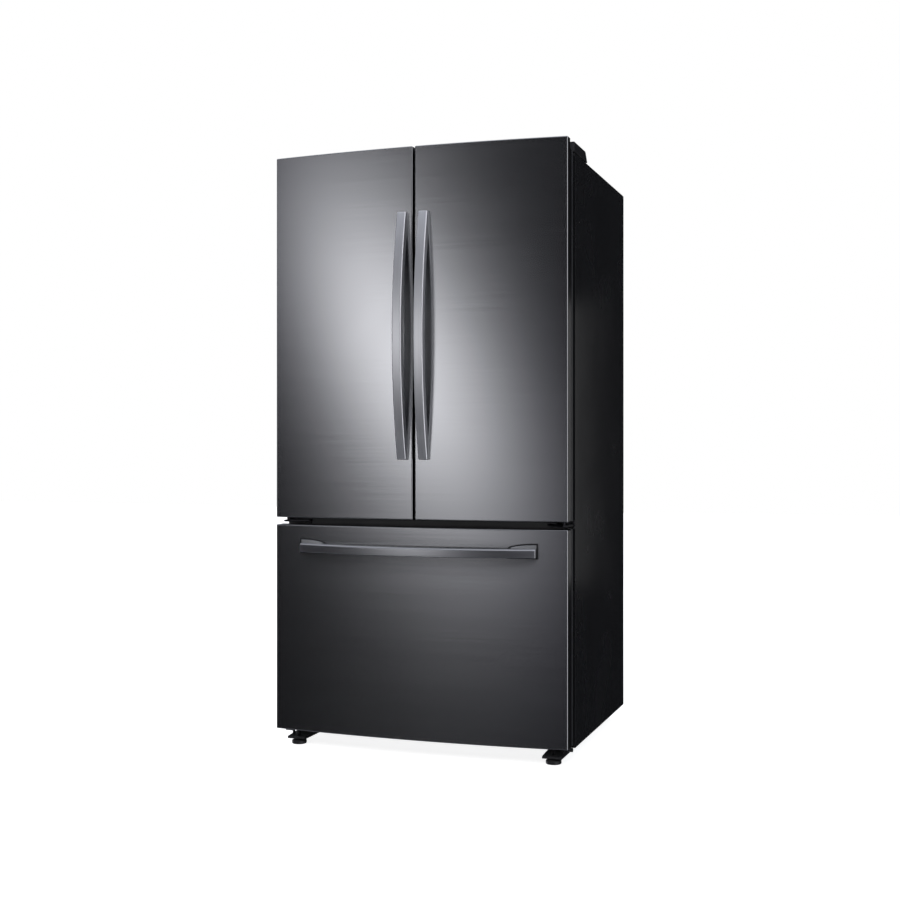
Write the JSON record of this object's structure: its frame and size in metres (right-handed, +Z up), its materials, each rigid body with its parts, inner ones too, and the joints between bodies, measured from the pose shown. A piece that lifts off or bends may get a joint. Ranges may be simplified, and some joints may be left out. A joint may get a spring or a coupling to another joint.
{
  "type": "french door refrigerator",
  "caption": "Free-standing french door refrigerator with two bowed doors, a freezer drawer below, shelves, bins, crispers and a machine compartment.",
  "frame": {"origin": "on the floor under the middle of the whole, handles included", "axes": "+Z up, the doors and the drawer face -Y, +X to the right of a person who faces them"},
  "size_m": [0.908, 0.848, 1.778],
  "materials": {
    "door_steel": "dark stainless, fine horizontal brushing",
    "handle_steel": "dark stainless, brushed along the bar",
    "cabinet_paint": "dark grey textured paint",
    "zinc_steel": "zinc-coated sheet and stampings",
    "black_paint": "satin black",
    "black_plastic": "fine grain",
    "door_frame_plastic": "dark grey frame of the inner door, filled with foam",
    "liner_plastic": "white, smooth",
    "gasket_rubber": "soft grey seal",
    "clear_plastic": "clear moulded styrene",
    "shelf_glass": "tempered",
    "foam": "rigid polyurethane foam"
  },
  "bodies": {
    "cabinet": {"cabinet_shell": "cabinet_paint", "cabinet_foam": "foam", "fridge_liner": "liner_plastic", "freezer_liner": "liner_plastic", "mullion_rail": "black_paint", "back_panel": "zinc_steel", "base_plate": "zinc_steel", "compressor_cover": "black_paint", "compressor": "black_paint", "condenser_coil": "black_paint", "fan_shroud": "black_plastic", "drain_pan": "black_plastic", "air_duct": "liner_plastic", "control_housing": "liner_plastic", "evaporator_cover": "liner_plastic", "shelf_upper_frame": "liner_plastic", "shelf_upper_glass": "shelf_glass", "shelf_lower_frame": "liner_plastic", "shelf_lower_glass": "shelf_glass", "crisper_cover_frame": "liner_plastic", "crisper_cover_glass": "shelf_glass", "top_hinge_left": "zinc_steel", "top_hinge_right": "zinc_steel", "hinge_cover_left": "black_plastic", "hinge_cover_right": "black_plastic", "center_hinge_left": "zinc_steel", "center_hinge_right": "zinc_steel", "leg_bracket_left": "black_paint", "leg_bracket_right": "black_paint", "freezer_rail_left": "zinc_steel", "freezer_rail_right": "zinc_steel"},
    "left_door": {"left_door_skin": "door_steel", "left_door_liner": "door_frame_plastic", "left_door_gasket": "gasket_rubber", "left_door_handle": "handle_steel", "left_door_bin_upper": "clear_plastic", "left_door_bin_lower": "clear_plastic"},
    "right_door": {"right_door_skin": "door_steel", "right_door_liner": "door_frame_plastic", "right_door_gasket": "gasket_rubber", "right_door_handle": "handle_steel", "right_door_bin_upper": "clear_plastic", "right_door_bin_lower": "clear_plastic"},
    "flip_mullion": {"flip_mullion": "door_frame_plastic"},
    "freezer_drawer": {"drawer_skin": "door_steel", "drawer_liner": "door_frame_plastic", "drawer_gasket": "gasket_rubber", "drawer_handle": "handle_steel", "freezer_bin": "liner_plastic", "drawer_rail_left": "zinc_steel", "drawer_rail_right": "zinc_steel"},
    "upper_basket": {"upper_basket": "liner_plastic"},
    "crisper_left": {"crisper_left": "clear_plastic"},
    "crisper_right": {"crisper_right": "clear_plastic"},
    "condenser_fan": {"condenser_fan": "black_plastic"},
    "leveling_foot_left": {"leveling_foot_left": "black_plastic"},
    "leveling_foot_right": {"leveling_foot_right": "black_plastic"},
    "rear_roller_left": {"rear_roller_left": "black_plastic"},
    "rear_roller_right": {"rear_roller_right": "black_plastic"}
  },
  "joints": [
    {"name": "left_door_hinge", "type": "hinge", "parent": "cabinet", "child": "left_door", "pos_m": [-0.432, -0.304, 1.2], "axis": [0, 0, -1], "range_deg": [0, 110]},
    {"name": "right_door_hinge", "type": "hinge", "parent": "cabinet", "child": "right_door", "pos_m": [0.432, -0.304, 1.2], "axis": [0, 0, 1], "range_deg": [0, 110]},
    {"name": "flip_mullion_hinge", "type": "hinge", "parent": "left_door", "child": "flip_mullion", "pos_m": [-0.0285, -0.249, 1.2], "axis": [0, 0, -1], "range_deg": [0, 90]},
    {"name": "freezer_drawer_slide", "type": "slide", "parent": "cabinet", "child": "freezer_drawer", "axis": [0, -1, 0], "range_m": [0, 0.42]},
    {"name": "upper_basket_slide", "type": "slide", "parent": "cabinet", "child": "upper_basket", "axis": [0, -1, 0], "range_m": [0, 0.252]},
    {"name": "crisper_left_slide", "type": "slide", "parent": "cabinet", "child": "crisper_left", "axis": [0, -1, 0], "range_m": [0, 0.06]},
    {"name": "crisper_right_slide", "type": "slide", "parent": "cabinet", "child": "crisper_right", "axis": [0, -1, 0], "range_m": [0, 0.06]},
    {"name": "condenser_fan_spin", "type": "hinge", "parent": "cabinet", "child": "condenser_fan", "pos_m": [-0.082, 0.305, 0.15], "axis": [1, 0, 0], "continuous": true},
    {"name": "leveling_foot_left_turn", "type": "hinge", "parent": "cabinet", "child": "leveling_foot_left", "pos_m": [-0.4, -0.296, 0.02], "axis": [0, 0, 1], "continuous": true},
    {"name": "leveling_foot_right_turn", "type": "hinge", "parent": "cabinet", "child": "leveling_foot_right", "pos_m": [0.4, -0.296, 0.02], "axis": [0, 0, 1], "continuous": true},
    {"name": "rear_roller_left_roll", "type": "hinge", "parent": "cabinet", "child": "rear_roller_left", "pos_m": [-0.4, 0.36, 0.018], "axis": [1, 0, 0], "continuous": true},
    {"name": "rear_roller_right_roll", "type": "hinge", "parent": "cabinet", "child": "rear_roller_right", "pos_m": [0.4, 0.36, 0.018], "axis": [1, 0, 0], "continuous": true}
  ],
  "couplings": [
    {"joint": "upper_basket_slide", "follows": "freezer_drawer_slide", "ratio": 0.6}
  ]
}
